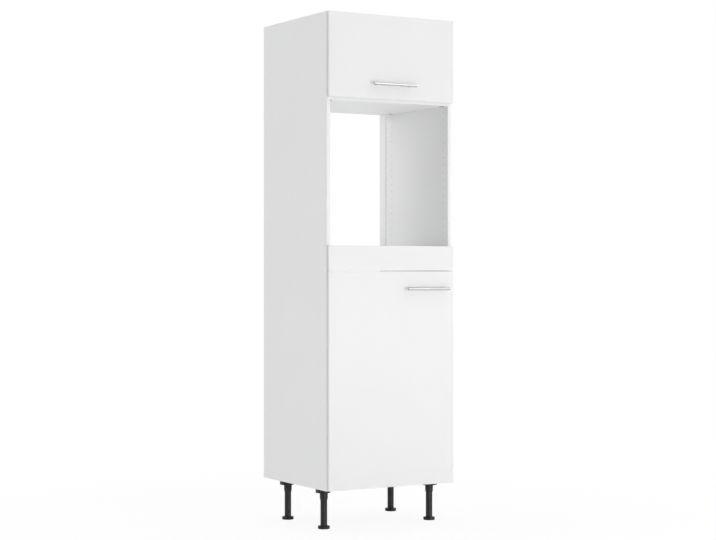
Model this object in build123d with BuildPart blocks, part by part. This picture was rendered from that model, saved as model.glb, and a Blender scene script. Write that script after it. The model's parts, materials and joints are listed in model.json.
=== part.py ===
"""Tall kitchen housing for a built-in oven and a built-in fridge, on four adjustable legs.

The cabinet stands on the floor plane, +Z is up and the fronts face -Y. The origin is on the
floor, at the middle of the cabinet's outline. All sizes are in millimetres.
"""
import os
from math import asin, cos, degrees, hypot, radians, sin, sqrt

from build123d import *

os.makedirs("parts", exist_ok=True)

# Driving sizes of the cabinet
width = 600.0
depth = 556.0
leg_height = 166.0
board = 16.0
front_board = 16.0
front_gap = 2.5
reveal = 1.5
front_joint = 3.0
edge_break = 0.5
front_radius = 1.0
fit = 0.15
tight_fit = 0.075

# Heights: the oven floor above the carcass underside, then the clear heights of the niches
niche_floor = 994.0
niche_height = 590.0
upper_height = 326.0
fixed_panel_height = 102.0
door_foot = 2.0
flap_lap = 5.0

# Back panel of the upper compartment and the rail behind the oven floor
back_board = 3.0
back_inset = 52.0
groove_depth = 8.0
back_play = 0.2
rail_height = 78.0
wall_hole_radius = 3.25
wall_hole_spacing = 400.0

# Line boring and knock-down joints
hole_pitch = 32.0
line_inset = 37.0
line_rear_inset = 103.0
line_margin = 20.0
line_radius = 2.5
line_depth = 10.0
cam_radius = 11.5
cam_cover = 3.5
cam_setback = 12.0
cam_before_line = 8.0
cam_slot_length = 9.0
cam_slot_width = 1.5
cam_slot_depth = 2.5
bolt_radius = 3.0
bolt_neck_radius = 2.1
bolt_head = 2.5
bolt_head_taper = 1.0
bolt_play = 0.3
dowel_radius = 4.0
dowel_length = 34.0
dowel_offset = 64.0
rail_dowel_inset = 19.5
side_cover = 5.0

# Wood screws
screw_radius = 1.75
screw_cover = 2.0
screw_head_radius = 3.5
screw_head = 1.8

# Bar handles
handle_spacing = 160.0
handle_overhang = 22.0
handle_bar_radius = 6.0
handle_post_radius = 5.0
handle_standoff = 26.0
handle_screw_radius = 2.0
handle_screw_grip = 9.0
handle_screw_head_radius = 4.0
handle_screw_play = 0.3
door_handle_edge = 35.0
door_handle_drop = 73.0
flap_handle_rise = 60.0

# Cup hinges, measured from the hinged edge and the back face of the front
hinge_edge = 7.0
hinge_floor = 2.9
hinge_inset = 100.0
cup_radius = 17.5
cup_rim = 3.0
cup_cover = 2.7
cup_wall = 0.7
cup_base = 0.5
cup_flange = 1.2
cup_screw_spacing = 48.0
cup_screw_offset = 6.0
cup_ear_radius = 6.5
pin_radius = 1.2
pin_play = 0.1
knuckle_radius = 2.2
arm_sheet = 2.0
arm_half_width = 5.0
arm_reach = 13.5
arm_dip = 0.9
arm_bend = 3.0
arm_ahead = 29.5
arm_behind = 22.5
arm_lap = 4.0
arm_wall = 1.2
arm_screw_radius = 2.4
arm_screw_length = 7.0
arm_screw_shift = 9.0
arm_play = 0.3
plate_sheet = 2.5
plate_half_length = 16.0
plate_half_width = 22.0
ridge_height = 7.0
ridge_half_length = 20.0

# Gas stays of the flap
stay_radius = 150.0
stay_open_angle = 90.0
stay_side_gap = 2.7
stay_drop = 8.0
stay_lift = 14.0
stay_tube_radius = 7.5
stay_wall = 1.5
stay_end_wall = 4.5
stay_end_room = 2.0
stay_rod_radius = 3.0
stay_piston = 6.0
stay_eye_radius = 7.0
stay_rod_eye_radius = 6.0
stay_eye_half = 4.0
stay_neck_length = 2.0
stay_pin_radius = 3.0
stay_pin_end = 2.0
stay_boss_radius = 4.5
stay_play = 0.3
bracket_sheet = 2.0
side_bracket_half_width = 10.8
side_bracket_half = 18.0
side_bracket_screw = 12.0
flap_bracket_length = 26.0
flap_bracket_half = 16.0
flap_bracket_screw = 9.0

# Angle brackets of the fixed front panel
angle_side_leg = 40.0
angle_front_leg = 34.0
angle_height = 40.0
angle_screw_half = 10.0
angle_screw_inset = 7.0

# Legs
leg_side = 44.0
leg_past_dowel = 2.0
leg_before_line = 36.0
flange_radius = 27.0
flange_sheet = 4.0
skirt_height = 18.0
skirt_wall = 2.0
tab_reach = 32.0
tab_width = 24.0
rib_sheet = 2.5
rib_inset = 3.0
leg_screw_angle = 30.0
socket_wall = 2.6
socket_flare = 0.5
socket_lip_wall = 0.8
socket_floor = 6.0
socket_height = 49.0
socket_taper = 10.0
tube_radius = 14.0
tube_wall = 3.0
tube_guide = 60.0
foot_radius = 24.5
foot_height = 12.0
foot_round = 1.5
foot_scallops = 12
foot_scallop_radius = 3.0
spindle_radius = 5.0
spindle_length = 58.0
spindle_play = 0.3

# Silicone buffers
buffer_radius = 4.0
buffer_inset = 40.0

# Places that follow from the driving sizes
half_width = width / 2
inner_half = half_width - board
handle_reach = handle_standoff + handle_bar_radius
overall_depth = depth + front_gap + front_board + handle_reach
carcass_front = overall_depth / 2 - depth
front_back = carcass_front - front_gap
front_face = front_back - front_board
niche_ceiling = niche_floor + niche_height
carcass_height = niche_ceiling + board + upper_height + board
shelf_depth = depth - back_inset - back_board - 2 * back_play
fixed_bottom = niche_floor - fixed_panel_height
door_top = fixed_bottom - front_joint
flap_bottom = niche_ceiling + board - flap_lap
flap_top = carcass_height - reveal
front_half = half_width - reveal
panel_u = board - reveal
handle_length = handle_spacing + 2 * handle_overhang
screw_length = min(board, front_board) - screw_cover
line_rear = depth - line_rear_inset
line_count = int((niche_height - 2 * line_margin) / hole_pitch) + 1
cam_height = board - cam_cover
in_side = board - side_cover
cam_rows = (line_inset - cam_before_line, line_rear - cam_before_line)
dowel_rows = (line_inset + dowel_offset, line_rear - dowel_offset)
rail_top = niche_floor - board
rail_dowels = (rail_top - rail_dowel_inset, rail_top - rail_height + rail_dowel_inset)
sides = (("left", -1), ("right", 1))
into = (Align.CENTER, Align.CENTER, Align.MAX)
out_of = (Align.CENTER, Align.CENTER, Align.MIN)

# Undersides of the horizontal boards, and whether their cams are reached from above
board_levels = (
    (0, True),
    (niche_floor - board, False),
    (niche_ceiling, False),
    (carcass_height - board, False),
)
board_middles = [under + board / 2 for under, cams_above in board_levels]


def y_in(distance):
    """Y of a point this far behind the front edge of the carcass."""
    return carcass_front + distance


def z_up(height):
    """Z of a point this high above the underside of the carcass."""
    return leg_height + height


def save(piece, label):
    """Name a finished piece and write its STEP file."""
    piece.part.label = label
    export_step(piece.part, f"parts/{label}.step")


def seat(frame, spot, towards):
    """Plane at a spot of a hinge frame, with its normal along a direction square to the axis."""
    normal = frame.from_local_coords(towards) - frame.origin
    return Plane(origin=frame.from_local_coords(spot), x_dir=frame.z_dir, z_dir=normal)


def drill(seats, radius, length):
    """Cut a round hole down from each seat plane, in the part being built."""
    for place in seats:
        with Locations(place.location):
            Cylinder(radius, length, align=into, mode=Mode.SUBTRACT)


def seat_pair(x, y, z, half, normal):
    """Two screw seats, one above the other, at equal distances from a height."""
    return [Plane(origin=(x, y, z + shift), z_dir=normal) for shift in (-half, half)]


def screw_group(seats, radius, length, head_radius, head):
    """Identical screws, each with its head standing on a seat plane."""
    with BuildPart() as group:
        with Locations(*[place.location for place in seats]):
            Cylinder(head_radius, head, align=out_of)
            Cylinder(radius, length, align=into)
    return group


# Hinge frames: x runs from the hinged edge into the front, y into the cabinet, z along the axis
def door_hinge_frame(height):
    """Frame of a door hinge at a height above the carcass underside."""
    return Plane(origin=(-front_half, front_back, z_up(height)), x_dir=(1, 0, 0), z_dir=(0, 0, 1))


def flap_hinge_frame(side):
    """Frame of the flap hinge on one side."""
    x = side * (front_half - hinge_inset)
    return Plane(origin=(x, front_back, z_up(flap_top)), x_dir=(0, 0, -1), z_dir=(1, 0, 0))


door_hinges = {
    "lower": door_hinge_frame(door_foot + hinge_inset),
    "upper": door_hinge_frame(door_top - hinge_inset),
}
flap_hinges = {name: flap_hinge_frame(side) for name, side in sides}
cup_u = cup_rim + cup_radius
cup_depth = front_board - cup_cover
hinge_depth = cup_depth - hinge_floor
plate_top = panel_u + plate_sheet
ridge_top = plate_top + ridge_height
arm_inner = ridge_top + arm_play
arm_outer = arm_inner + arm_sheet
arm_middle = (arm_inner + arm_outer) / 2
plate_row = front_gap + line_inset
arm_front = plate_row - arm_ahead
arm_length = arm_ahead + arm_behind


def plate_seats(frame):
    """Screw seats on a hinge mounting plate, on the line boring."""
    return [seat(frame, (plate_top, plate_row, z), (1, 0, 0)) for z in (-hole_pitch / 2, hole_pitch / 2)]


def cup_seats(frame):
    """Screw seats on the flange of a hinge cup."""
    u = cup_u + cup_screw_offset
    half = cup_screw_spacing / 2
    return [seat(frame, (u, cup_flange, z), (0, 1, 0)) for z in (-half, half)]


def arm_seats(frames):
    """Seats of the screws that fix the hinge arms to their plates."""
    return [seat(frame, (arm_outer, plate_row + arm_screw_shift, 0), (1, 0, 0)) for frame in frames]


# Flap stays: the two pivots are equally far from the flap's axis, so the stay turns half as far
flap_axis_y = front_back - hinge_depth
flap_axis_z = z_up(flap_top) - hinge_edge
stay_low_y = front_back + stay_lift
stay_low_z = flap_axis_z - sqrt(stay_radius**2 - (stay_low_y - flap_axis_y) ** 2)
stay_high_z = z_up(carcass_height - board) - stay_drop - side_bracket_half
stay_high_y = flap_axis_y + sqrt(stay_radius**2 - (flap_axis_z - stay_high_z) ** 2)
stay_shut = hypot(stay_low_y - stay_high_y, stay_low_z - stay_high_z)
stay_shut_angle = 2 * degrees(asin(stay_shut / (2 * stay_radius)))
stay_open = 2 * stay_radius * sin(radians(stay_shut_angle + stay_open_angle) / 2)
stay_stroke = stay_open - stay_shut
stay_neck = stay_eye_radius + stay_neck_length
stay_bore_radius = stay_tube_radius - stay_wall
stay_offset = bracket_sheet + screw_head + stay_side_gap + stay_tube_radius
stay_x = inner_half - stay_offset
stay_ear = stay_x - stay_eye_half - stay_pin_end
piston_back = stay_neck + stay_end_wall
bore_end = piston_back + stay_piston + stay_stroke + stay_end_room
tube_end = bore_end + stay_end_wall


def stay_frame(side):
    """Frame of a stay: origin on its upper pivot, x along the shut stay, z across the cabinet."""
    along = (0, stay_low_y - stay_high_y, stay_low_z - stay_high_z)
    return Plane(origin=(side * stay_x, stay_high_y, stay_high_z), x_dir=along, z_dir=(1, 0, 0))


def side_bracket_seats(side):
    """Screw seats on the stay bracket of a side panel."""
    x = side * (inner_half - bracket_sheet)
    return seat_pair(x, stay_high_y, stay_high_z, side_bracket_screw, (-side, 0, 0))


def flap_bracket_seats(side):
    """Screw seats on the stay bracket of the flap."""
    x = side * (stay_ear - bracket_sheet - flap_bracket_length / 2)
    return seat_pair(x, front_back + bracket_sheet, stay_low_z, flap_bracket_screw, (0, 1, 0))


# Fixed front panel: one screwed angle at each end
angle_middle = z_up(niche_floor - board - fixed_panel_height / 2 + angle_screw_half)


def angle_side_seats(side):
    """Screw seats of an angle bracket on its side panel."""
    x = side * (inner_half - bracket_sheet)
    y = y_in(angle_side_leg - angle_screw_inset)
    return seat_pair(x, y, angle_middle, angle_screw_half, (-side, 0, 0))


def angle_front_seats(side):
    """Screw seats of an angle bracket on the fixed front panel."""
    x = side * (inner_half - angle_front_leg + angle_screw_inset)
    return seat_pair(x, front_back + bracket_sheet, angle_middle, angle_screw_half, (0, 1, 0))


# Legs, set so that the screws of their flanges pass beside the dowels and cam bolts
socket_radius = tube_radius + socket_wall
socket_top_radius = socket_radius + socket_flare
leg_screw_circle = (flange_radius - skirt_wall + socket_top_radius) / 2
leg_rows = (("front", line_inset + dowel_offset + leg_past_dowel), ("rear", line_rear - leg_before_line))
leg_spots = {
    f"{end}_{name}": (side * (half_width - leg_side), y_in(row))
    for end, row in leg_rows
    for name, side in sides
}


def leg_seats(spot):
    """Screw seats on the flange of a leg socket."""
    across = leg_screw_circle * cos(radians(leg_screw_angle))
    along = leg_screw_circle * sin(radians(leg_screw_angle))
    corners = [(spot[0] + dx, spot[1] + dy) for dx in (-across, across) for dy in (-along, along)]
    return [Plane(origin=(x, y, leg_height - flange_sheet), z_dir=(0, 0, -1)) for x, y in corners]


# Side panels
groove_width = back_board + 2 * back_play
groove_middle = y_in(depth - back_inset - groove_width / 2)
for name, side in sides:
    inner_face = Plane.YZ.offset(side * inner_half)
    line_middle = (y_in((line_inset + line_rear) / 2), z_up(niche_floor + niche_height / 2))
    with BuildPart() as side_panel:
        with BuildSketch(Plane.YZ.offset(side * half_width)):
            with Locations((y_in(depth / 2), z_up(carcass_height / 2))):
                Rectangle(depth, carcass_height)
        extrude(amount=-side * board)
        chamfer(side_panel.faces().sort_by(Axis.Y)[0].edges(), edge_break)
        with BuildSketch(inner_face):
            with Locations((groove_middle, z_up(carcass_height / 2))):
                Rectangle(groove_width, carcass_height)
        extrude(amount=side * groove_depth, mode=Mode.SUBTRACT)
        with BuildSketch(inner_face):
            with Locations(line_middle):
                with GridLocations(line_rear - line_inset, hole_pitch, 2, line_count):
                    Circle(line_radius)
        extrude(amount=side * line_depth, mode=Mode.SUBTRACT)
        with BuildSketch(inner_face):
            with Locations(*[(y_in(row), z_up(height)) for row in cam_rows for height in board_middles]):
                Circle(bolt_radius + fit)
        extrude(amount=side * (in_side + fit), mode=Mode.SUBTRACT)
        with BuildSketch(inner_face):
            with Locations(*[(y_in(row), z_up(height)) for row in dowel_rows for height in board_middles]):
                Circle(dowel_radius + fit)
            with Locations(*[(y_in(depth - board / 2), z_up(height)) for height in rail_dowels]):
                Circle(dowel_radius + fit)
        extrude(amount=side * (in_side + fit), mode=Mode.SUBTRACT)
        drill(side_bracket_seats(side) + angle_side_seats(side), screw_radius + fit, screw_length + fit)
        if side < 0:
            for frame in door_hinges.values():
                drill(plate_seats(frame), screw_radius + fit, screw_length + fit)
    save(side_panel, f"side_panel_{name}")


def horizontal_board(under, length, cams_above, extra_seats):
    """Board between the side panels, bored for cams, bolts and dowels at both ends."""
    bottom = Plane.XY.offset(z_up(under))
    middle = z_up(under + board / 2)
    with BuildPart() as piece:
        with BuildSketch(bottom):
            with Locations((0, y_in(length / 2))):
                Rectangle(2 * inner_half, length)
        extrude(amount=board)
        chamfer(piece.edges().filter_by(Axis.X).group_by(Axis.Y)[0], edge_break)
        with BuildSketch(bottom.offset(board) if cams_above else bottom):
            for row in cam_rows:
                with Locations(*[(end * (inner_half - cam_setback), y_in(row)) for end in (-1, 1)]):
                    Circle(cam_radius + fit)
        extrude(amount=(cam_height + fit) * (-1 if cams_above else 1), mode=Mode.SUBTRACT)
        for end in (-1, 1):
            end_face = Plane.YZ.offset(end * inner_half)
            with BuildSketch(end_face):
                with Locations(*[(y_in(row), middle) for row in cam_rows]):
                    Circle(bolt_radius + bolt_play)
            extrude(amount=-end * cam_setback, mode=Mode.SUBTRACT)
            with BuildSketch(end_face):
                with Locations(*[(y_in(row), middle) for row in dowel_rows]):
                    Circle(dowel_radius + fit)
            extrude(amount=-end * (dowel_length - in_side + fit), mode=Mode.SUBTRACT)
        drill(extra_seats, screw_radius + fit, screw_length + fit)
    return piece


all_leg_seats = [place for spot in leg_spots.values() for place in leg_seats(spot)]
bottom_panel = horizontal_board(0, depth, True, all_leg_seats)
save(bottom_panel, "bottom_panel")

niche_floor_shelf = horizontal_board(niche_floor - board, shelf_depth, False, [])
save(niche_floor_shelf, "niche_floor_shelf")

niche_ceiling_shelf = horizontal_board(niche_ceiling, shelf_depth, False, [])
save(niche_ceiling_shelf, "niche_ceiling_shelf")

# The top panel also has the groove of the back panel on its underside
flap_plate_seats = [place for frame in flap_hinges.values() for place in plate_seats(frame)]
with BuildPart() as top_panel:
    add(horizontal_board(carcass_height - board, depth, False, flap_plate_seats).part)
    with BuildSketch(Plane.XY.offset(z_up(carcass_height - board))):
        with Locations((0, groove_middle)):
            Rectangle(2 * inner_half, groove_width)
    extrude(amount=groove_depth, mode=Mode.SUBTRACT)
save(top_panel, "top_panel")

# Back panel of the upper compartment, slid into the grooves behind the ceiling shelf
with BuildPart() as upper_back_panel:
    back_low = z_up(niche_ceiling)
    back_high = z_up(carcass_height - board) + groove_depth - back_play
    with BuildSketch(Plane.XZ.offset(-y_in(depth - back_inset - back_play))):
        with Locations((0, (back_low + back_high) / 2)):
            Rectangle(2 * (inner_half + groove_depth - back_play), back_high - back_low)
    extrude(amount=back_board)
save(upper_back_panel, "upper_back_panel")

# Rear rail under the oven floor, with the holes that fasten the cabinet to the wall
with BuildPart() as rear_rail:
    with BuildSketch(Plane.XZ.offset(-y_in(depth))):
        with Locations((0, z_up(rail_top - rail_height / 2))):
            Rectangle(2 * inner_half, rail_height)
            with GridLocations(wall_hole_spacing, 1, 2, 1):
                Circle(wall_hole_radius, mode=Mode.SUBTRACT)
    extrude(amount=board)
    for end in (-1, 1):
        with BuildSketch(Plane.YZ.offset(end * inner_half)):
            with Locations(*[(y_in(depth - board / 2), z_up(height)) for height in rail_dowels]):
                Circle(dowel_radius + fit)
        extrude(amount=-end * (dowel_length - in_side + fit), mode=Mode.SUBTRACT)
save(rear_rail, "rear_rail")

# Cam locks: a slotted drum, open towards the bolt
with BuildPart() as cam_lock:
    Cylinder(cam_radius, cam_height, align=out_of)
    with Locations((0, 0, board / 2)):
        Cylinder(
            bolt_radius + bolt_play, 2 * cam_radius, rotation=(0, 90, 0), align=into, mode=Mode.SUBTRACT
        )
    Box(cam_slot_length, cam_slot_width, cam_slot_depth, align=out_of, mode=Mode.SUBTRACT)

# Cam bolts: a shank that screws into the side panel, a neck and a round head
with BuildPart() as cam_bolt:
    with BuildSketch(Plane.XZ):
        with BuildLine():
            Polyline(
                (0, -in_side),
                (bolt_radius, -in_side),
                (bolt_radius, cam_setback - cam_radius),
                (bolt_neck_radius, cam_setback - cam_radius),
                (bolt_neck_radius, cam_setback - bolt_head - bolt_head_taper),
                (bolt_radius, cam_setback - bolt_head),
                (bolt_radius, cam_setback),
                (0, cam_setback),
                close=True,
            )
        make_face()
    revolve(axis=Axis.Z)

with BuildPart() as cam_locks:
    for under, cams_above in board_levels:
        open_face = z_up(under + board) if cams_above else z_up(under)
        for row in cam_rows:
            for end in (-1, 1):
                spot = (end * (inner_half - cam_setback), y_in(row), open_face)
                drum = Plane(origin=spot, x_dir=(-end, 0, 0), z_dir=(0, 0, -1 if cams_above else 1))
                with Locations(drum.location):
                    add(cam_lock.part)
save(cam_locks, "cam_locks")

with BuildPart() as cam_bolts:
    for height in board_middles:
        for row in cam_rows:
            for end in (-1, 1):
                foot = Plane(origin=(end * inner_half, y_in(row), z_up(height)), z_dir=(-end, 0, 0))
                with Locations(foot.location):
                    add(cam_bolt.part)
save(cam_bolts, "cam_bolts")

with BuildPart() as dowels:
    dowel_spots = [(y_in(row), z_up(height)) for row in dowel_rows for height in board_middles]
    dowel_spots += [(y_in(depth - board / 2), z_up(height)) for height in rail_dowels]
    for y, z in dowel_spots:
        for end in (-1, 1):
            root = Plane(origin=(end * (inner_half + in_side), y, z), z_dir=(-end, 0, 0))
            with Locations(root.location):
                Cylinder(dowel_radius, dowel_length, align=out_of)
save(dowels, "dowels")


def front_panel(left, right, low, high):
    """Front board with softly rounded edges, between two heights above the carcass underside."""
    with BuildPart() as piece:
        with BuildSketch(Plane.XZ.offset(-front_back)):
            with Locations(((left + right) / 2, z_up((low + high) / 2))):
                Rectangle(right - left, high - low)
        extrude(amount=front_board)
        fillet(piece.edges(), front_radius)
    return piece


def handle_seats(x, height):
    """Screw seats of a handle on the back face of its front."""
    half = handle_spacing / 2
    return [Plane(origin=(x + shift, front_back, z_up(height)), z_dir=(0, 1, 0)) for shift in (-half, half)]


def bored_front(blank, hinges, handle_places, other_seats):
    """Front with the bores of its hinge cups, handle screws and fittings."""
    with BuildPart() as piece:
        add(blank.part)
        for frame in hinges.values():
            cup_seat = seat(frame, (cup_u, 0, 0), (0, 1, 0))
            drill([cup_seat], cup_radius + fit, cup_depth + fit)
            drill(cup_seats(frame), screw_radius + fit, screw_length + fit)
        drill(handle_places, handle_screw_radius + handle_screw_play, front_board)
        drill(other_seats, screw_radius + fit, screw_length + fit)
    return piece


door_handle_x = half_width - door_handle_edge - handle_length / 2
door_handle_seats = handle_seats(door_handle_x, door_top - door_handle_drop)
door_blank = front_panel(-front_half, front_half, door_foot, door_top)
door_panel = bored_front(door_blank, door_hinges, door_handle_seats, [])
save(door_panel, "door_panel")

flap_handle_seats = handle_seats(0, flap_bottom + flap_handle_rise)
flap_blank = front_panel(-front_half, front_half, flap_bottom, flap_top)
flap_stay_seats = [place for name, side in sides for place in flap_bracket_seats(side)]
flap_panel = bored_front(flap_blank, flap_hinges, flap_handle_seats, flap_stay_seats)
save(flap_panel, "flap_panel")

fixed_blank = front_panel(-front_half, front_half, fixed_bottom, niche_floor)
fixed_seats = [place for name, side in sides for place in angle_front_seats(side)]
fixed_front_panel = bored_front(fixed_blank, {}, [], fixed_seats)
save(fixed_front_panel, "fixed_front_panel")


def bar_handle(x, height):
    """Round bar on two posts, tapped from behind for its screws."""
    bar_y = front_face - handle_standoff
    with BuildPart() as piece:
        with BuildSketch(Plane.YZ.offset(x - handle_length / 2)):
            with Locations((bar_y, z_up(height))):
                Circle(handle_bar_radius)
        extrude(amount=handle_length)
        chamfer(piece.edges(), edge_break)
        with BuildSketch(Plane.XZ.offset(-front_face)):
            with Locations((x, z_up(height))):
                with GridLocations(handle_spacing, 1, 2, 1):
                    Circle(handle_post_radius)
        extrude(amount=handle_standoff)
        with BuildSketch(Plane.XZ.offset(-front_face)):
            with Locations((x, z_up(height))):
                with GridLocations(handle_spacing, 1, 2, 1):
                    Circle(handle_screw_radius + tight_fit)
        extrude(amount=handle_screw_grip + fit, mode=Mode.SUBTRACT)
    return piece


for front, x, height, places in (
    ("door", door_handle_x, door_top - door_handle_drop, door_handle_seats),
    ("flap", 0, flap_bottom + flap_handle_rise, flap_handle_seats),
):
    save(bar_handle(x, height), f"{front}_handle")
    handle_screw_length = front_board + handle_screw_grip
    handle_screws = screw_group(
        places, handle_screw_radius, handle_screw_length, handle_screw_head_radius, screw_head
    )
    save(handle_screws, f"{front}_handle_screws")


def hinge_cup(frame):
    """Cup pressed into the front, with an oval flange and the holes of its pin and screws."""
    mouth = seat(frame, (cup_u, 0, 0), (0, 1, 0))
    cup_hollow = cup_depth + cup_flange - cup_base
    with BuildPart() as piece:
        with Locations(mouth.offset(cup_flange).location):
            Cylinder(cup_radius, cup_depth + cup_flange, align=into)
        with BuildSketch(mouth):
            Circle(cup_radius)
            with Locations((0, cup_screw_offset)):
                with GridLocations(cup_screw_spacing, 1, 2, 1):
                    Circle(cup_ear_radius)
            make_hull()
        extrude(amount=cup_flange)
        with Locations(mouth.offset(cup_flange).location):
            Cylinder(cup_radius - cup_wall, cup_hollow, align=into, mode=Mode.SUBTRACT)
        drill(cup_seats(frame), screw_radius + fit, cup_flange)
        with Locations(frame.location * Location((hinge_edge, -hinge_depth, 0))):
            Cylinder(pin_radius + tight_fit, 2 * cup_radius, mode=Mode.SUBTRACT)
    return piece


def hinge_arm(frame):
    """Channel that clips on the plate, with a gooseneck nose reaching into the cup."""
    channel_half = arm_half_width + arm_play
    channel_low = plate_top + arm_play
    along = arm_front + arm_length / 2
    with BuildPart() as piece:
        with BuildSketch(frame.offset(-arm_half_width)):
            with BuildLine():
                FilletPolyline(
                    (hinge_edge, -hinge_depth),
                    (hinge_edge + arm_reach, -hinge_depth - arm_dip),
                    (arm_middle, -hinge_depth / 2),
                    (arm_middle, arm_front + arm_lap),
                    radius=arm_bend,
                )
            trace(line_width=arm_sheet)
            with Locations((hinge_edge, -hinge_depth)):
                Circle(knuckle_radius)
                Circle(pin_radius + pin_play, mode=Mode.SUBTRACT)
        extrude(amount=2 * arm_half_width)
        with BuildSketch(frame.offset(-channel_half - arm_wall)):
            with Locations(((channel_low + arm_outer) / 2, along)):
                Rectangle(arm_outer - channel_low, arm_length)
        extrude(amount=2 * (channel_half + arm_wall))
        with BuildSketch(frame.offset(-channel_half)):
            with Locations(((plate_top + arm_inner) / 2, along)):
                Rectangle(arm_inner - plate_top, arm_length)
        extrude(amount=2 * channel_half, mode=Mode.SUBTRACT)
        drill(arm_seats([frame]), arm_screw_radius + fit, arm_sheet)
    return piece


def hinge_plate(frame):
    """Cross-shaped mounting plate with the ridge that carries the arm."""
    with BuildPart() as piece:
        with BuildSketch(seat(frame, (panel_u, plate_row, 0), (1, 0, 0))):
            RectangleRounded(2 * plate_half_width, 2 * plate_half_length, arm_half_width)
        extrude(amount=plate_sheet)
        with BuildSketch(seat(frame, (panel_u, plate_row, 0), (1, 0, 0))):
            Rectangle(2 * arm_half_width, 2 * ridge_half_length)
        extrude(amount=plate_sheet + ridge_height)
        drill(plate_seats(frame), screw_radius + fit, plate_sheet)
        drill(arm_seats([frame]), arm_screw_radius + tight_fit, arm_screw_length + fit)
    return piece


def hinge_pins(frames):
    """Pivot pins of a front's hinges, held in the walls of their cups."""
    half = sqrt((cup_radius - cup_wall / 2) ** 2 - (cup_u - hinge_edge + pin_radius) ** 2)
    with BuildPart() as group:
        with Locations(*[frame.location * Location((hinge_edge, -hinge_depth, 0)) for frame in frames]):
            Cylinder(pin_radius, 2 * half)
    return group


for front, hinges in (("door", door_hinges), ("flap", flap_hinges)):
    for name, frame in hinges.items():
        save(hinge_cup(frame), f"{front}_hinge_cup_{name}")
        save(hinge_arm(frame), f"{front}_hinge_arm_{name}")
        save(hinge_plate(frame), f"{front}_hinge_plate_{name}")
    save(hinge_pins(hinges.values()), f"{front}_hinge_pins")

hinge_arm_seats = arm_seats([*door_hinges.values(), *flap_hinges.values()])
hinge_arm_screws = screw_group(
    hinge_arm_seats, arm_screw_radius, arm_screw_length, screw_head_radius, screw_head
)
save(hinge_arm_screws, "hinge_arm_screws")

door_cup_seats = [place for frame in door_hinges.values() for place in cup_seats(frame)]
door_cup_screws = screw_group(door_cup_seats, screw_radius, screw_length, screw_head_radius, screw_head)
save(door_cup_screws, "door_cup_screws")

flap_screw_seats = [place for frame in flap_hinges.values() for place in cup_seats(frame)] + flap_stay_seats
flap_screws = screw_group(flap_screw_seats, screw_radius, screw_length, screw_head_radius, screw_head)
save(flap_screws, "flap_screws")


def stay_side_bracket(side):
    """Plate on the side panel with the pivot of the stay's cylinder."""
    x = side * inner_half
    pin_length = stay_offset + stay_eye_half + stay_pin_end
    boss_length = stay_offset - stay_eye_half - stay_play
    with BuildPart() as piece:
        with BuildSketch(Plane(origin=(x, stay_high_y, stay_high_z), x_dir=(0, 1, 0), z_dir=(-side, 0, 0))):
            RectangleRounded(2 * side_bracket_half_width, 2 * side_bracket_half, stay_pin_radius)
        extrude(amount=bracket_sheet)
        with Locations(Plane(origin=(x, stay_high_y, stay_high_z), z_dir=(-side, 0, 0)).location):
            Cylinder(stay_pin_radius, pin_length, align=out_of)
            Cylinder(stay_boss_radius, boss_length, align=out_of)
        drill(side_bracket_seats(side), screw_radius + fit, bracket_sheet)
    return piece


def stay_flap_bracket(side):
    """Folded bracket on the flap with the pivot of the stay's rod."""
    ear_x = side * stay_ear
    base_x = ear_x - side * (bracket_sheet + flap_bracket_length) / 2
    with BuildPart() as piece:
        with BuildSketch(Plane(origin=(base_x, front_back, stay_low_z), x_dir=(1, 0, 0), z_dir=(0, 1, 0))):
            Rectangle(flap_bracket_length + bracket_sheet, 2 * flap_bracket_half)
        extrude(amount=bracket_sheet)
        with BuildSketch(Plane(origin=(ear_x, front_back, stay_low_z), x_dir=(0, 1, 0), z_dir=(-side, 0, 0))):
            with Locations((stay_lift / 2, 0)):
                Rectangle(stay_lift, 2 * stay_eye_radius)
            with Locations((stay_lift, 0)):
                Circle(stay_eye_radius)
        extrude(amount=bracket_sheet)
        with Locations(Plane(origin=(ear_x, stay_low_y, stay_low_z), z_dir=(side, 0, 0)).location):
            Cylinder(stay_pin_radius, 2 * (stay_eye_half + stay_pin_end), align=out_of)
        drill(flap_bracket_seats(side), screw_radius + fit, bracket_sheet)
    return piece


def stay_cylinder(side):
    """Gas cylinder: an eye on the side bracket and a bored tube with a guide at its mouth."""
    frame = stay_frame(side)
    along = Plane(origin=frame.origin, z_dir=frame.x_dir)
    with BuildPart() as piece:
        with Locations(frame.location):
            Cylinder(stay_eye_radius, 2 * stay_eye_half)
        with BuildSketch(along):
            Circle(stay_eye_half)
        extrude(amount=stay_neck + stay_wall)
        with BuildSketch(along.offset(stay_neck)):
            Circle(stay_tube_radius)
        extrude(amount=tube_end - stay_neck)
        with BuildSketch(along.offset(piston_back - stay_wall)):
            Circle(stay_bore_radius)
        extrude(amount=bore_end - piston_back + stay_wall, mode=Mode.SUBTRACT)
        with BuildSketch(along.offset(bore_end)):
            Circle(stay_rod_radius + stay_play)
        extrude(amount=tube_end - bore_end, mode=Mode.SUBTRACT)
        with Locations(frame.location):
            Cylinder(stay_pin_radius + fit, 2 * stay_eye_half, mode=Mode.SUBTRACT)
    return piece


def stay_rod(side):
    """Piston rod: a piston in the cylinder and an eye on the flap bracket."""
    frame = stay_frame(side)
    along = Plane(origin=frame.origin, z_dir=frame.x_dir)
    low_eye = frame.location * Location((stay_shut, 0, 0))
    with BuildPart() as piece:
        with BuildSketch(along.offset(piston_back)):
            Circle(stay_bore_radius - stay_play)
        extrude(amount=stay_piston)
        with BuildSketch(along.offset(piston_back)):
            Circle(stay_rod_radius)
        extrude(amount=stay_shut - piston_back - stay_pin_radius)
        with Locations(low_eye):
            Cylinder(stay_rod_eye_radius, 2 * stay_eye_half)
            Cylinder(stay_pin_radius + fit, 2 * stay_eye_half, mode=Mode.SUBTRACT)
    return piece


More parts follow.
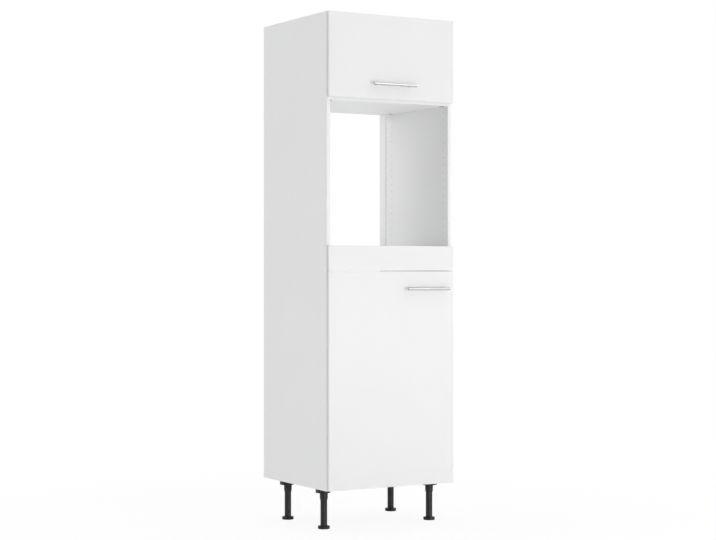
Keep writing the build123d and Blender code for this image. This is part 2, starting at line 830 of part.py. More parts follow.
for name, side in sides:
    save(stay_side_bracket(side), f"stay_side_bracket_{name}")
    save(stay_flap_bracket(side), f"stay_flap_bracket_{name}")
    save(stay_cylinder(side), f"stay_cylinder_{name}")
    save(stay_rod(side), f"stay_rod_{name}")


# Angle brackets of the fixed front panel
for name, side in sides:
    side_leg_middle = (front_back + y_in(angle_side_leg)) / 2
    with BuildPart() as panel_bracket:
        with BuildSketch(Plane.XY.offset(angle_middle - angle_height / 2)):
            with Locations((side * (inner_half - bracket_sheet / 2), side_leg_middle)):
                Rectangle(bracket_sheet, angle_side_leg + front_gap)
            with Locations((side * (inner_half - angle_front_leg / 2), front_back + bracket_sheet / 2)):
                Rectangle(angle_front_leg, bracket_sheet)
        extrude(amount=angle_height)
        drill(angle_side_seats(side) + angle_front_seats(side), screw_radius + fit, bracket_sheet)
    save(panel_bracket, f"panel_bracket_{name}")

carcass_seats = all_leg_seats + flap_plate_seats
for frame in door_hinges.values():
    carcass_seats += plate_seats(frame)
for name, side in sides:
    carcass_seats += side_bracket_seats(side) + angle_side_seats(side) + angle_front_seats(side)
carcass_screws = screw_group(carcass_seats, screw_radius, screw_length, screw_head_radius, screw_head)
save(carcass_screws, "carcass_screws")


# Silicone buffers on the carcass edges that the door and the flap close on
with BuildPart() as front_buffers:
    edge_x = half_width - board / 2
    buffer_spots = [(edge_x, door_foot + buffer_inset), (edge_x, door_top - buffer_inset)]
    buffer_spots += [(side * edge_x, flap_bottom + buffer_inset) for name, side in sides]
    for x, height in buffer_spots:
        pad = Plane(origin=(x, carcass_front, z_up(height)), z_dir=(0, -1, 0))
        with Locations(pad.location):
            Cylinder(buffer_radius, front_gap, align=out_of)
save(front_buffers, "front_buffers")


def leg_socket(spot):
    """Skirted flange with a tab under the side panel, crossed ribs and the socket of the leg tube."""
    x, y = spot
    outward = 1 if x > 0 else -1
    top = Plane(origin=(x, y, leg_height))
    axis_plane = Plane(origin=top.origin, x_dir=(1, 0, 0), z_dir=(0, -1, 0))
    with BuildPart() as piece:
        for inset, level, mode in ((0, 0, Mode.ADD), (skirt_wall, flange_sheet, Mode.SUBTRACT)):
            with BuildSketch(top.offset(-level)):
                Circle(flange_radius - inset)
                with Locations((outward * (tab_reach - inset) / 2, 0)):
                    Rectangle(tab_reach - inset, tab_width - 2 * inset)
            extrude(amount=level - skirt_height, mode=mode)
        tab_rib = x + outward * (tab_reach - flange_radius) / 2
        rib_height = skirt_height - rib_inset
        with Locations((tab_rib, y, leg_height)):
            Box(flange_radius + tab_reach - skirt_wall, rib_sheet, rib_height, align=into)
        with Locations(top.location):
            Box(rib_sheet, 2 * flange_radius - skirt_wall, rib_height, align=into)
        with BuildSketch(axis_plane):
            with BuildLine():
                Polyline(
                    (0, 0),
                    (socket_top_radius, 0),
                    (socket_top_radius, -flange_sheet),
                    (socket_radius, -socket_height + socket_taper),
                    (tube_radius + socket_lip_wall, -socket_height),
                    (0, -socket_height),
                    close=True,
                )
            make_face()
        revolve(axis=Axis(origin=top.origin, direction=(0, 0, 1)))
        with Locations((x, y, leg_height - socket_floor)):
            Cylinder(tube_radius + fit, socket_height - socket_floor, align=into, mode=Mode.SUBTRACT)
        drill(leg_seats(spot), screw_radius + fit, flange_sheet)
    return piece


def leg_tube(spot):
    """Leg tube with a guide for the foot's spindle in its lower end."""
    top = leg_height - socket_floor - fit
    with BuildPart() as piece:
        with BuildSketch(Plane.XY.offset(foot_height)):
            with Locations(spot):
                Circle(tube_radius)
        extrude(amount=top - foot_height)
        with BuildSketch(Plane.XY.offset(foot_height + tube_guide)):
            with Locations(spot):
                Circle(tube_radius - tube_wall)
        extrude(amount=top - foot_height - tube_guide, mode=Mode.SUBTRACT)
        with BuildSketch(Plane.XY.offset(foot_height)):
            with Locations(spot):
                Circle(spindle_radius + spindle_play)
        extrude(amount=tube_guide, mode=Mode.SUBTRACT)
    return piece


def screw_foot(spot):
    """Scalloped foot on a spindle that screws into the leg tube."""
    with BuildPart() as piece:
        with BuildSketch():
            with Locations(spot):
                Circle(foot_radius)
        extrude(amount=foot_height)
        fillet(piece.edges().group_by(Axis.Z)[0], foot_round)
        with BuildSketch(Plane.XY.offset(foot_round)):
            with Locations(spot):
                with PolarLocations(foot_radius + foot_scallop_radius / 2, foot_scallops):
                    Circle(foot_scallop_radius)
        extrude(amount=foot_height - foot_round, mode=Mode.SUBTRACT)
        with BuildSketch(Plane.XY.offset(foot_height)):
            with Locations(spot):
                Circle(spindle_radius)
        extrude(amount=spindle_length)
    return piece


for name, spot in leg_spots.items():
    save(leg_socket(spot), f"leg_socket_{name}")
    save(leg_tube(spot), f"leg_tube_{name}")
    save(screw_foot(spot), f"foot_{name}")

print(f"carcass front {carcass_front:.3f}, front face {front_face:.3f}, overall depth {overall_depth:.3f}")
print(f"door axis x {-front_half + hinge_edge:.3f} y {front_back - hinge_depth:.3f}")
print(f"flap axis y {flap_axis_y:.3f} z {flap_axis_z:.3f}")
print(f"stay pivots y {stay_high_y:.3f} z {stay_high_z:.3f} and y {stay_low_y:.3f} z {stay_low_z:.3f}")
print(f"stay shut {stay_shut:.2f} open {stay_open:.2f} stroke {stay_stroke:.2f} tube end {tube_end:.2f}")
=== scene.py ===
"""Looks of the tall kitchen housing: finishes, screw heads, foot threads, light and camera.

Everything is in metres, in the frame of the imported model: +Z up, fronts towards -Y.
"""
import json
from math import cos, pi, radians, sin

import bmesh
import bpy
from mathutils import Matrix, Vector

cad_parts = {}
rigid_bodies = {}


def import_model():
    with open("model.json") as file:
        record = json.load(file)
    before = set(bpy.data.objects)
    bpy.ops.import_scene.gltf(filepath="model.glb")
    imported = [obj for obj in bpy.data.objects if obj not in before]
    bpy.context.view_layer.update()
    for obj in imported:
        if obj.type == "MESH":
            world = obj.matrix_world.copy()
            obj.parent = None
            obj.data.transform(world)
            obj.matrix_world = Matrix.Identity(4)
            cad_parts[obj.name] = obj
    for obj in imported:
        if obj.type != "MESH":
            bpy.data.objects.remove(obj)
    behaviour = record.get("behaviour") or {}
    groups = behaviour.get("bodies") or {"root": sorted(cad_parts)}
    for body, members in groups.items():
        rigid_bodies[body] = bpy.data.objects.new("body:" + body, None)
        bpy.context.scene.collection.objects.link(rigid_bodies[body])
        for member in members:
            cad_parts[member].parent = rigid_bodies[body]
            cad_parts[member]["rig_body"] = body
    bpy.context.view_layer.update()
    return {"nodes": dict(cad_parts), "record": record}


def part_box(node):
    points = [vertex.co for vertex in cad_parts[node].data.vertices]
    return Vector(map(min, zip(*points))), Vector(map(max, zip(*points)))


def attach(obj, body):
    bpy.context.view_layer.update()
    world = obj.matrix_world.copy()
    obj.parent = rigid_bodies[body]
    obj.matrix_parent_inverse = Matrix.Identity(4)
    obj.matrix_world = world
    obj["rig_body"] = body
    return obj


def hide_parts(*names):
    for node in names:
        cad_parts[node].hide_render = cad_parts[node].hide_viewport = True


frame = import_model()
nodes = frame["nodes"]
scene = bpy.context.scene
slot_color = {m["slot"]: tuple(m["base_color"][:3]) for m in frame["record"]["materials"]}
slot_of = {s["node"]: s["material_slot"] for s in frame["record"]["subparts"]}

# Camera of the photograph: level, without shift, its place found from the cabinet's edges
IMAGE_WIDTH = 716
FOCAL_PIXELS = 1727.8
SENSOR_WIDTH = 36.0
CAMERA_PLACE = Vector((-3.7078, -6.3408, 1.0607))
CAMERA_TURN = radians(-30.275)

# Faced chipboard: edge band, patterns per metre, colours of the core, roughness and relief of the faces
EDGE_BAND = 0.0012
CLOUD_SCALE = 2.4
PEARL_SCALE = 620.0
CHIP_SCALE = 420.0
CHIP_LIGHT = (0.72, 0.69, 0.64)
CHIP_DARK = (0.55, 0.52, 0.47)
FRONT_FACE = {"roughness": 0.38, "relief": 0.03}
CARCASS_FACE = {"roughness": 0.46, "relief": 0.06}

# Bare pressed fibre behind the back board
FIBRE_SCALE = 260.0
FIBRE_STRETCH = (1.0, 1.0, 3.0)
FIBRE_LIGHT = (0.34, 0.22, 0.13)
FIBRE_DARK = (0.22, 0.13, 0.075)

# Lines per metre along X, Y and Z of the brushed handles and of the beech dowels
BRUSH_LINES = (60.0, 5200.0, 5200.0)
BEECH_FLECKS = (120.0, 900.0, 900.0)

# Patterns per metre of plated metal, plastic and silicone
PLATING_CLOUDS = 160.0
ROLLED_GRAIN = 2600.0
PLASTIC_CLOUDS = 45.0
PLASTIC_GRAIN = 1500.0
SILICONE_CLOUDS = 300.0
SILICONE_IOR = 1.41

# A face looks along an axis where its normal has more than this share of it
FACE_SHARE = 0.5

# The shader counts in full turns
QUARTER_TURN = 0.25

# Colour sockets of the mix node, which has others of the same names
MIX_FIRST = 6
MIX_SECOND = 7
MIX_RESULT = 2

# Points nearer than this are one point, and points within this height are level
WELD = 2e-6
LEVEL = 1e-5

# Edges sharper than this stay sharp on smooth pieces
SHARP_EDGE = radians(35.0)

# CAD screws, in head radii: points beyond the first are on the rim, within the second on the axis
RIM_SHARE = 0.98
AXIS_SHARE = 0.1

# Pan head and screw point, each as (radius, height) in shares of the head and of the shank's radius
HEAD_PROFILE = ((1.0, 0.0), (1.0, 0.35), (0.93, 0.70), (0.78, 0.90), (0.50, 1.0), (0.0, 1.0))
POINT_PROFILE = ((0.0, 0.0), (0.45, 0.8), (1.0, 2.0))
LATHE_STEPS = 32

# Cross recess in shares of the head's radius and height, narrower towards its bottom
RECESS_REACH = 0.62
RECESS_WIDTH = 0.30
RECESS_DEPTH = 0.65
RECESS_TOP = 1.2
BOTTOM_REACH = 0.5
BOTTOM_WIDTH = 0.7

# Spindle threads of the feet
THREAD_PITCH = 0.0025
THREAD_DEPTH = 0.0008
THREAD_STEPS = 32
THREAD_ROWS = 6

# Stage
FLOOR_SIZE = 60.0
FLOOR_WHITE = (0.9, 0.9, 0.9)
SHADOW_SHARE = 0.12
SHADOW_REACH = 2.2

# Light of the world: dim before the cabinet, strongest beside it, weaker straight behind and above it
FRONT_SKY = 0.05
REAR_SKY = 2.06
SKY_TURN = (-0.45, 0.55)
REAR_FALL = 0.32
REAR_TURN = (0.45, 1.0)
ZENITH_FALL = 0.69
ZENITH_TURN = (0.3, 1.0)

# Points that the lamps are aimed at
MIDDLE_OF_FRONTS = Vector((0.0, -0.27, 1.05))
LOWER_DOOR = Vector((0.0, -0.27, 0.45))


# Node helpers
def new_material(name, roughness, metallic=0.0):
    """A new material with its node tree and its surface shader."""
    material = bpy.data.materials.new(name)
    material.use_nodes = True
    tree = material.node_tree
    surface = tree.nodes["Principled BSDF"]
    surface.inputs["Roughness"].default_value = roughness
    surface.inputs["Metallic"].default_value = metallic
    return material, tree, surface


def coordinate(tree, output="Object", stretch=None):
    """Place or normal of a surface point in the part's frame, stretched along the axes if asked."""
    source = tree.nodes.new("ShaderNodeTexCoord").outputs[output]
    if stretch is None:
        return source
    mapping = tree.nodes.new("ShaderNodeMapping")
    mapping.inputs["Scale"].default_value = stretch
    tree.links.new(source, mapping.inputs["Vector"])
    return mapping.outputs["Vector"]


def axes(tree, vector):
    """The parts of a vector, by the names X, Y and Z."""
    node = tree.nodes.new("ShaderNodeSeparateXYZ")
    tree.links.new(vector, node.inputs["Vector"])
    return node.outputs


def noise(tree, vector, scale, detail=3.0, roughness=0.5):
    """Fractal noise from 0 to 1."""
    node = tree.nodes.new("ShaderNodeTexNoise")
    node.inputs["Scale"].default_value = scale
    node.inputs["Detail"].default_value = detail
    node.inputs["Roughness"].default_value = roughness
    tree.links.new(vector, node.inputs["Vector"])
    return node.outputs["Fac"]


def chips(tree, vector, scale):
    """A random value for each pressed chip of a board's core."""
    node = tree.nodes.new("ShaderNodeTexVoronoi")
    node.inputs["Scale"].default_value = scale
    tree.links.new(vector, node.inputs["Vector"])
    split = tree.nodes.new("ShaderNodeSeparateColor")
    tree.links.new(node.outputs["Color"], split.inputs["Color"])
    return split.outputs["Red"]


def remap(tree, value, low=0.0, high=1.0, start=0.3, end=0.7):
    """Spread a value's middle range over a new range."""
    node = tree.nodes.new("ShaderNodeMapRange")
    node.inputs["From Min"].default_value = start
    node.inputs["From Max"].default_value = end
    node.inputs["To Min"].default_value = low
    node.inputs["To Max"].default_value = high
    tree.links.new(value, node.inputs["Value"])
    return node.outputs["Result"]


def combine(tree, operation, first, second):
    """Math on two values, each a socket or a number."""
    node = tree.nodes.new("ShaderNodeMath")
    node.operation = operation
    for socket, value in zip(node.inputs, (first, second)):
        if isinstance(value, (int, float)):
            socket.default_value = value
        else:
            tree.links.new(value, socket)
    return node.outputs["Value"]


def mix_color(tree, factor, first, second):
    """Blend two colours, each a socket or a triple."""
    node = tree.nodes.new("ShaderNodeMix")
    node.data_type = "RGBA"
    tree.links.new(factor, node.inputs["Factor"])
    for socket, value in ((node.inputs[MIX_FIRST], first), (node.inputs[MIX_SECOND], second)):
        if isinstance(value, tuple):
            socket.default_value = (*value, 1.0)
        else:
            tree.links.new(value, socket)
    return node.outputs[MIX_RESULT]


def darker(color, share):
    """A colour that has lost a share of its light."""
    return tuple(c * (1 - share) for c in color)


def mottled(tree, value, color, spread):
    """A colour that a value takes from a little darker to a little lighter."""
    lighter = tuple(min(1.0, c * (1 + spread)) for c in color)
    return mix_color(tree, value, darker(color, spread), lighter)


def set_color(tree, surface, color):
    """Base colour of a surface."""
    tree.links.new(color, surface.inputs["Base Color"])


def set_roughness(tree, surface, value, low, high):
    """Roughness of a surface, from low to high as a value rises."""
    tree.links.new(remap(tree, value, low, high), surface.inputs["Roughness"])


def add_bump(tree, surface, height, strength, distance):
    """Relief of a surface from a height value."""
    node = tree.nodes.new("ShaderNodeBump")
    node.inputs["Strength"].default_value = strength
    node.inputs["Distance"].default_value = distance
    tree.links.new(height, node.inputs["Height"])
    tree.links.new(node.outputs["Normal"], surface.inputs["Normal"])


def is_seen(tree):
    """One where the camera looks, also by way of mirrors and glass, and zero for light on matt surfaces."""
    path = tree.nodes.new("ShaderNodeLightPath")
    seen = path.outputs["Is Camera Ray"]
    for ray in ("Is Glossy Ray", "Is Transmission Ray"):
        seen = combine(tree, "MAXIMUM", seen, path.outputs[ray])
    return seen


# Materials
def core_mask(tree, node, thickness, banded):
    """One on the cut edges and in the bores of a board, zero on its faces and banded edges."""
    low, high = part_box(node)
    normal = axes(tree, coordinate(tree, "Normal"))
    place = axes(tree, coordinate(tree))
    across = combine(tree, "ABSOLUTE", normal[thickness], 0.0)
    mask = combine(tree, "LESS_THAN", across, FACE_SHARE)
    for axis, end in banded:
        if end == "low":
            inside = combine(tree, "GREATER_THAN", place[axis], getattr(low, axis.lower()) + EDGE_BAND)
        else:
            inside = combine(tree, "LESS_THAN", place[axis], getattr(high, axis.lower()) - EDGE_BAND)
        mask = combine(tree, "MULTIPLY", mask, inside)
    return mask


def laminate(node, thickness, banded, roughness, relief):
    """White faced chipboard: a fine pearl on the faces, chips where the board is cut."""
    material, tree, surface = new_material(f"{node}_laminate", roughness)
    cloud = remap(tree, noise(tree, coordinate(tree), CLOUD_SCALE, detail=4.0))
    face = mottled(tree, cloud, slot_color[slot_of[node]], spread=0.012)
    core = mix_color(tree, chips(tree, coordinate(tree), CHIP_SCALE), CHIP_DARK, CHIP_LIGHT)
    set_color(tree, surface, mix_color(tree, core_mask(tree, node, thickness, banded), face, core))
    pearl = noise(tree, coordinate(tree), PEARL_SCALE, detail=2.0)
    set_roughness(tree, surface, pearl, low=roughness - 0.06, high=roughness + 0.06)
    add_bump(tree, surface, pearl, strength=relief, distance=0.0002)
    return material


def hardboard(node):
    """Thin back board: white lacquer towards the inside, bare pressed fibre behind."""
    material, tree, surface = new_material(f"{node}_hardboard", roughness=0.55)
    cloud = remap(tree, noise(tree, coordinate(tree), CLOUD_SCALE))
    face = mottled(tree, cloud, slot_color[slot_of[node]], spread=0.015)
    strands = coordinate(tree, stretch=FIBRE_STRETCH)
    fibre = noise(tree, strands, FIBRE_SCALE, detail=6.0, roughness=0.7)
    bare = mix_color(tree, remap(tree, fibre), FIBRE_DARK, FIBRE_LIGHT)
    normal = axes(tree, coordinate(tree, "Normal"))
    behind = combine(tree, "GREATER_THAN", normal["Y"], -FACE_SHARE)
    set_color(tree, surface, mix_color(tree, behind, face, bare))
    set_roughness(tree, surface, fibre, low=0.45, high=0.68)
    add_bump(tree, surface, fibre, strength=0.12, distance=0.0003)
    return material


def brushed(slot, lines, roughness):
    """Metal with fine brush lines along the axis that has the fewest per metre."""
    material, tree, surface = new_material(slot, roughness, metallic=1.0)
    color = slot_color[slot]
    brush = noise(tree, coordinate(tree, stretch=lines), scale=1.0, detail=4.0, roughness=0.65)
    set_color(tree, surface, mix_color(tree, remap(tree, brush), darker(color, 0.45), color))
    set_roughness(tree, surface, brush, low=roughness - 0.08, high=roughness + 0.10)
    add_bump(tree, surface, brush, strength=0.10, distance=0.00005)
    return material


def plated(slot, roughness):
    """Pressed and plated metal: soft clouds in the plating and a faint rolled grain."""
    material, tree, surface = new_material(slot, roughness, metallic=1.0)
    cloud = noise(tree, coordinate(tree), PLATING_CLOUDS, detail=5.0, roughness=0.6)
    set_color(tree, surface, mottled(tree, remap(tree, cloud), slot_color[slot], spread=0.045))
    set_roughness(tree, surface, cloud, low=roughness - 0.04, high=roughness + 0.05)
    grain = noise(tree, coordinate(tree), ROLLED_GRAIN, detail=2.0)
    add_bump(tree, surface, grain, strength=0.06, distance=0.00005)
    return material


def moulded(slot, roughness, relief, specular=0.5, turned=0.0, mottle=0.18):
    """Moulded plastic or lacquer with a fine texture, which may have been turned about Z."""
    material, tree, surface = new_material(slot, roughness)
    surface.inputs["Specular IOR Level"].default_value = specular
    surface.inputs["Anisotropic"].default_value = turned
    surface.inputs["Anisotropic Rotation"].default_value = QUARTER_TURN
    around = tree.nodes.new("ShaderNodeTangent")
    around.direction_type = "RADIAL"
    around.axis = "Z"
    tree.links.new(around.outputs["Tangent"], surface.inputs["Tangent"])
    cloud = noise(tree, coordinate(tree), PLASTIC_CLOUDS)
    set_color(tree, surface, mottled(tree, remap(tree, cloud), slot_color[slot], spread=mottle))
    grain = noise(tree, coordinate(tree), PLASTIC_GRAIN, detail=2.0)
    set_roughness(tree, surface, grain, low=roughness - 0.05, high=roughness + 0.07)
    add_bump(tree, surface, grain, strength=relief, distance=0.0001)
    return material


def beech(slot):
    """Bare turned beech with its short flecks, along X."""
    material, tree, surface = new_material(slot, roughness=0.6)
    flecks = noise(tree, coordinate(tree, stretch=BEECH_FLECKS), scale=1.0, detail=5.0, roughness=0.6)
    set_color(tree, surface, mottled(tree, remap(tree, flecks), slot_color[slot], spread=0.22))
    add_bump(tree, surface, flecks, strength=0.2, distance=0.0001)
    return material


def silicone(slot):
    """Clear soft buffer, slightly cloudy."""
    material, tree, surface = new_material(slot, roughness=0.35)
    surface.inputs["Transmission Weight"].default_value = 0.5
    surface.inputs["IOR"].default_value = SILICONE_IOR
    cloud = noise(tree, coordinate(tree), SILICONE_CLOUDS)
    set_color(tree, surface, mottled(tree, remap(tree, cloud), slot_color[slot], spread=0.05))
    add_bump(tree, surface, cloud, strength=0.1, distance=0.0001)
    return material


# Axis across each board, and its banded edges
SIDE_BANDS = (("Y", "low"), ("Z", "high"))
SHELF_BANDS = (("Y", "low"),)
RAIL_BANDS = (("Z", "low"),)
FRONT_BANDS = (("X", "low"), ("X", "high"), ("Z", "low"), ("Z", "high"))
board_layout = {
    "side_panel_left": ("X", SIDE_BANDS),
    "side_panel_right": ("X", SIDE_BANDS),
    "top_panel": ("Z", SHELF_BANDS),
    "bottom_panel": ("Z", SHELF_BANDS),
    "niche_ceiling_shelf": ("Z", SHELF_BANDS),
    "niche_floor_shelf": ("Z", SHELF_BANDS),
    "rear_rail": ("Y", RAIL_BANDS),
    "door_panel": ("Y", FRONT_BANDS),
    "flap_panel": ("Y", FRONT_BANDS),
    "fixed_front_panel": ("Y", FRONT_BANDS),
}

# Finishes that all pieces of a slot share
shared = {
    "handle_steel": brushed("handle_steel", BRUSH_LINES, roughness=0.26),
    "hinge_steel": plated("hinge_steel", roughness=0.28),
    "zinc_fitting": plated("zinc_fitting", roughness=0.42),
    "cam_housing": moulded("cam_housing", roughness=0.45, relief=0.06),
    "screw_steel": plated("screw_steel", roughness=0.34),
    "dowel_wood": beech("dowel_wood"),
    "leg_plastic": moulded("leg_plastic", roughness=0.38, relief=0.04, specular=0.36, turned=0.8),
    "stay_tube": moulded("stay_tube", roughness=0.36, relief=0.05, mottle=0.03),
    "stay_rod": plated("stay_rod", roughness=0.12),
    "buffer_silicone": silicone("buffer_silicone"),
}


def finish_of(node):
    """Material of a CAD node."""
    slot = slot_of[node]
    if node in board_layout:
        thickness, banded = board_layout[node]
        face = FRONT_FACE if slot == "front_board" else CARCASS_FACE
        return laminate(node, thickness, banded, **face)
    if slot == "back_board":
        return hardboard(node)
    return shared[slot]


for name, piece in nodes.items():
    piece.data.materials.clear()
    piece.data.materials.append(finish_of(name))


# Mesh helpers
def bridge(work, rings):
    """Wall through the rings of a turned body, where a ring of one point is an end on the axis."""
    for lower, upper in zip(rings, rings[1:]):
        count = max(len(lower), len(upper))
        for i in range(count):
            j = (i + 1) % count
            below = [lower[i % len(lower)], lower[j % len(lower)]]
            above = [upper[j % len(upper)], upper[i % len(upper)]]
            work.faces.new(list(dict.fromkeys(below + above)))


def mesh_from(work, name):
    """Finished mesh of a work body, with outward normals."""
    bmesh.ops.recalc_face_normals(work, faces=work.faces)
    mesh = bpy.data.meshes.new(name)
    work.to_mesh(mesh)
    work.free()
    return mesh


def welded(mesh):
    """Work body of a mesh, with its double points joined."""
    work = bmesh.new()
    work.from_mesh(mesh)
    bmesh.ops.remove_doubles(work, verts=work.verts, dist=WELD)
    return work


def stand_for(node, mesh):
    """Put a detailed mesh in the place of a CAD node, on its body and with its finish."""
    piece = bpy.data.objects.new(mesh.name, mesh)
    scene.collection.objects.link(piece)
    mesh.materials.append(shared[slot_of[node]])
    mesh.shade_smooth()
    mesh.set_sharp_from_angle(angle=SHARP_EDGE)
    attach(piece, nodes[node]["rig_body"])
    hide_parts(node)


# Screws: the CAD group gives each one's place, axis and sizes
def islands(mesh):
    """Points of each separate solid in a mesh."""
    work = welded(mesh)
    seen = set()
    for start in work.verts:
        if start in seen:
            continue
        group, queue = [], [start]
        seen.add(start)
        while queue:
            vert = queue.pop()
            group.append(vert.co.copy())
            for edge in vert.link_edges:
                other = edge.other_vert(vert)
                if other not in seen:
                    seen.add(other)
                    queue.append(other)
        yield group
    work.free()


def screw_layout(points):
    """Seat, head direction, head radius and height, shank radius and length of one screw."""
    low = Vector(map(min, zip(*points)))
    high = Vector(map(max, zip(*points)))
    size = high - low
    axis = max(range(3), key=lambda i: size[i])
    middle = (low + high) / 2

    def radius(point):
        offset = point - middle
        offset[axis] = 0.0
        return offset.length

    head_radius = max(map(radius, points))
    rim = [p[axis] for p in points if radius(p) > RIM_SHARE * head_radius]
    shank_radius = min(radius(p) for p in points if radius(p) > AXIS_SHARE * head_radius)
    up = 1.0 if max(rim) > middle[axis] else -1.0
    head_height = max(rim) - min(rim)
    seat = middle.copy()
    seat[axis] = min(rim) if up > 0 else max(rim)
    direction = Vector((0.0, 0.0, 0.0))
    direction[axis] = up
    return seat, direction, head_radius, head_height, shank_radius, size[axis] - head_height


def lathe(work, profile):
    """Closed body turned from a profile of (radius, height) that starts and ends on the axis."""
    turns = [2 * pi * i / LATHE_STEPS for i in range(LATHE_STEPS)]
    rings = []
    for radius, height in profile:
        ring = turns if radius > 0.0 else turns[:1]
        rings.append([work.verts.new((radius * cos(a), radius * sin(a), height)) for a in ring])
    bridge(work, rings)


def cross_recess(radius, height):
    """Tapered cross that is cut into a screw head."""
    reach = RECESS_REACH * radius
    half_width = 0.5 * RECESS_WIDTH * radius
    bottom = (BOTTOM_REACH * reach, BOTTOM_WIDTH * half_width, height * (1 - RECESS_DEPTH))
    top = (reach, half_width, RECESS_TOP * height)
    work = bmesh.new()
    for turn in (0.0, pi / 2):
        rings = [
            [
                work.verts.new(Matrix.Rotation(turn, 3, "Z") @ Vector((sx * x, sy * y, z)))
                for sx, sy in ((-1, -1), (1, -1), (1, 1), (-1, 1))
            ]
            for x, y, z in (bottom, top)
        ]
        work.faces.new(rings[0][::-1])
        work.faces.new(rings[1])
        bridge(work, rings)
    return mesh_from(work, "cross_recess")


def screw_body(head_radius, head_height, shank_radius, shank_length):
    """Pan-head screw standing on its seat, with a cross recess and a pointed shank."""
    point = [(r * shank_radius, h * shank_radius - shank_length) for r, h in POINT_PROFILE]
    head = [(r * head_radius, h * head_height) for r, h in HEAD_PROFILE]
    work = bmesh.new()
    lathe(work, [*point, (shank_radius, 0.0), *head])
    blank = bpy.data.objects.new("screw_blank", mesh_from(work, "screw_blank"))
    cutter = bpy.data.objects.new("screw_cutter", cross_recess(head_radius, head_height))
    for item in (blank, cutter):
        scene.collection.objects.link(item)
    cut = blank.modifiers.new("recess", "BOOLEAN")
    cut.operation = "DIFFERENCE"
    cut.solver = "EXACT"
    cut.use_self = True
    cut.object = cutter
    mesh = bpy.data.meshes.new_from_object(blank.evaluated_get(bpy.context.evaluated_depsgraph_get()))
    for item in (blank, cutter):
        bpy.data.objects.remove(item)
    work = welded(mesh)
    bpy.data.meshes.remove(mesh)
    return mesh_from(work, "screw")


def detailed_screws(node):
    """Replace a CAD group of plain screws by pan-head screws in the same places."""
    work = bmesh.new()
    template = None
    for points in islands(nodes[node].data):
        seat, direction, *sizes = screw_layout(points)
        template = template or screw_body(*sizes)
        turn = direction.to_track_quat("Z", "Y").to_matrix().to_4x4()
        placed = template.copy()
        placed.transform(Matrix.Translation(seat) @ turn)
        work.from_mesh(placed)
        bpy.data.meshes.remove(placed)
    bpy.data.meshes.remove(template)
    stand_for(node, mesh_from(work, f"{node}_detailed"))


for name in nodes:
    if name.endswith("_screws"):
        detailed_screws(name)


# Feet: the CAD foot with a thread on its spindle
def thread_depth(turn, height):
    """How far the flank of the thread lies below its crest."""
    place = (height / THREAD_PITCH - turn) % 1.0
    return THREAD_DEPTH * abs(2.0 * place - 1.0)


def threaded_spindle(work, middle, radius, low, high):
    """Spindle from its foot to its top, its wall following the thread."""
    rows = THREAD_ROWS * round((high - low) / THREAD_PITCH)
    rings = []
    for row in range(rows + 1):
        height = low + (high - low) * row / rows
        ring = []
        for step in range(THREAD_STEPS):
            turn = step / THREAD_STEPS
            angle = 2 * pi * turn
            reach = radius - thread_depth(turn, height)
            place = (middle.x + reach * cos(angle), middle.y + reach * sin(angle), height)
            ring.append(work.verts.new(place))
        rings.append(ring)
    bridge(work, rings)
    work.faces.new(rings[0][::-1])
    work.faces.new(rings[-1])


def threaded_foot(node):
    """Replace the plain spindle of a CAD foot by a threaded one."""
    low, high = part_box(node)
    middle = (low + high) / 2
    work = welded(nodes[node].data)
    top = [v for v in work.verts if v.co.z > high.z - LEVEL]
    radius = max((v.co - middle).xy.length for v in top)
    bmesh.ops.delete(work, geom=top, context="VERTS")
    seat = max(v.co.z for v in work.verts)
    rim = [e for e in work.edges if e.is_boundary]
    bmesh.ops.holes_fill(work, edges=rim)
    threaded_spindle(work, middle, radius, seat, high.z)
    stand_for(node, mesh_from(work, f"{node}_threaded"))


for name in nodes:
    if name.startswith("foot_"):
        threaded_foot(name)


# Stage: a pale floor that only keeps a soft shadow
def floor_material():
    """White ground: seen directly it is nearly self-lit, for all other light it is plain matt white.

    Only a share of its shading shows near the cabinet, and none beyond the shadow's reach.
    """
    material, tree, surface = new_material("floor_white", roughness=0.9)
    surface.inputs["Base Color"].default_value = (*FLOOR_WHITE, 1.0)
    surface.inputs["Specular IOR Level"].default_value = 0.0
    distance = tree.nodes.new("ShaderNodeVectorMath")
    distance.operation = "LENGTH"
    tree.links.new(coordinate(tree), distance.inputs[0])
    glowing = remap(tree, distance.outputs["Value"], 1.0 - SHADOW_SHARE, 1.0, 0.0, SHADOW_REACH)
    glow = tree.nodes.new("ShaderNodeEmission")
    mix = tree.nodes.new("ShaderNodeMixShader")
    tree.links.new(combine(tree, "MULTIPLY", is_seen(tree), glowing), mix.inputs["Fac"])
    tree.links.new(surface.outputs["BSDF"], mix.inputs[1])
    tree.links.new(glow.outputs["Emission"], mix.inputs[2])
    tree.links.new(mix.outputs["Shader"], tree.nodes["Material Output"].inputs["Surface"])
    return material


bpy.ops.mesh.primitive_plane_add(size=FLOOR_SIZE, location=(0.0, 0.0, 0.0))
floor = bpy.context.object
floor.name = "floor"
floor.data.materials.append(floor_material())


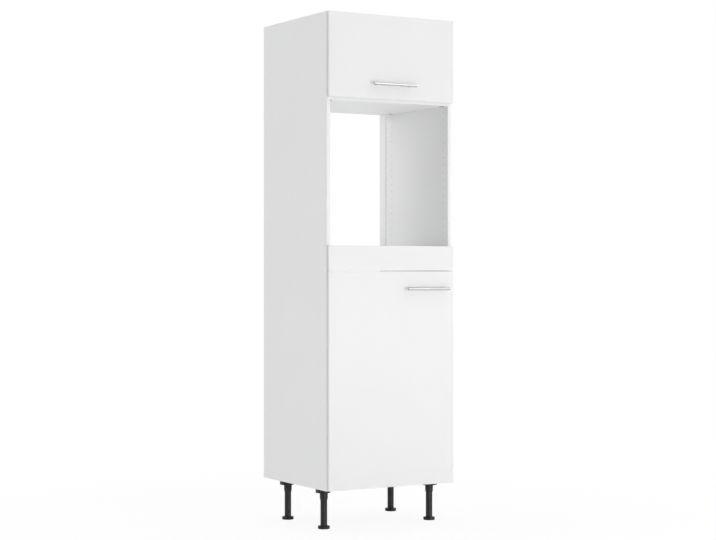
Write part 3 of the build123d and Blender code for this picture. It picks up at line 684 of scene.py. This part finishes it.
# Light: a world that is white where it is seen, and three soft lamps
def studio_world():
    """World with a plain white backdrop, whose light on the object depends on where it comes from."""
    world = bpy.data.worlds.new("studio")
    world.use_nodes = True
    tree = world.node_tree
    backdrop = tree.nodes["Background"]
    backdrop.inputs["Color"].default_value = (1.0, 1.0, 1.0, 1.0)
    direction = axes(tree, coordinate(tree, "Generated"))
    rise = remap(tree, direction["Y"], FRONT_SKY, REAR_SKY, *SKY_TURN)
    fall = remap(tree, direction["Y"], 1.0, REAR_FALL, *REAR_TURN)
    above = remap(tree, direction["Z"], 1.0, ZENITH_FALL, *ZENITH_TURN)
    strength = tree.nodes.new("ShaderNodeMix")
    tree.links.new(is_seen(tree), strength.inputs["Factor"])
    light = combine(tree, "MULTIPLY", combine(tree, "MULTIPLY", rise, fall), above)
    tree.links.new(light, strength.inputs["A"])
    strength.inputs["B"].default_value = 1.0
    tree.links.new(strength.outputs["Result"], backdrop.inputs["Strength"])
    return world


def area_light(name, place, target, size, power, spread=180.0):
    """Soft lamp aimed at a point, with a grid on it where its spread is narrow."""
    lamp = bpy.data.lights.new(name, "AREA")
    lamp.shape = "RECTANGLE"
    lamp.size, lamp.size_y = size
    lamp.energy = power
    lamp.spread = radians(spread)
    holder = bpy.data.objects.new(name, lamp)
    holder.location = place
    holder.rotation_euler = (target - Vector(place)).to_track_quat("-Z", "Y").to_euler()
    scene.collection.objects.link(holder)


scene.world = studio_world()
area_light("strip", (0.6, -6.2, 0.45), LOWER_DOOR, size=(1.2, 0.8), power=14.0, spread=70.0)
area_light("top", (2.0, -5.0, 6.0), MIDDLE_OF_FRONTS, size=(4.5, 6.0), power=190.0)
area_light("fill", (3.6, -5.4, 1.4), MIDDLE_OF_FRONTS, size=(5.0, 2.7), power=28.0)

# Camera
camera_data = bpy.data.cameras.new("photo_camera")
camera_data.sensor_width = SENSOR_WIDTH
camera_data.lens = FOCAL_PIXELS / IMAGE_WIDTH * SENSOR_WIDTH
camera = bpy.data.objects.new("photo_camera", camera_data)
camera.location = CAMERA_PLACE
camera.rotation_euler = (pi / 2, 0.0, CAMERA_TURN)
scene.collection.objects.link(camera)
scene.camera = camera
scene.view_settings.view_transform = "Standard"
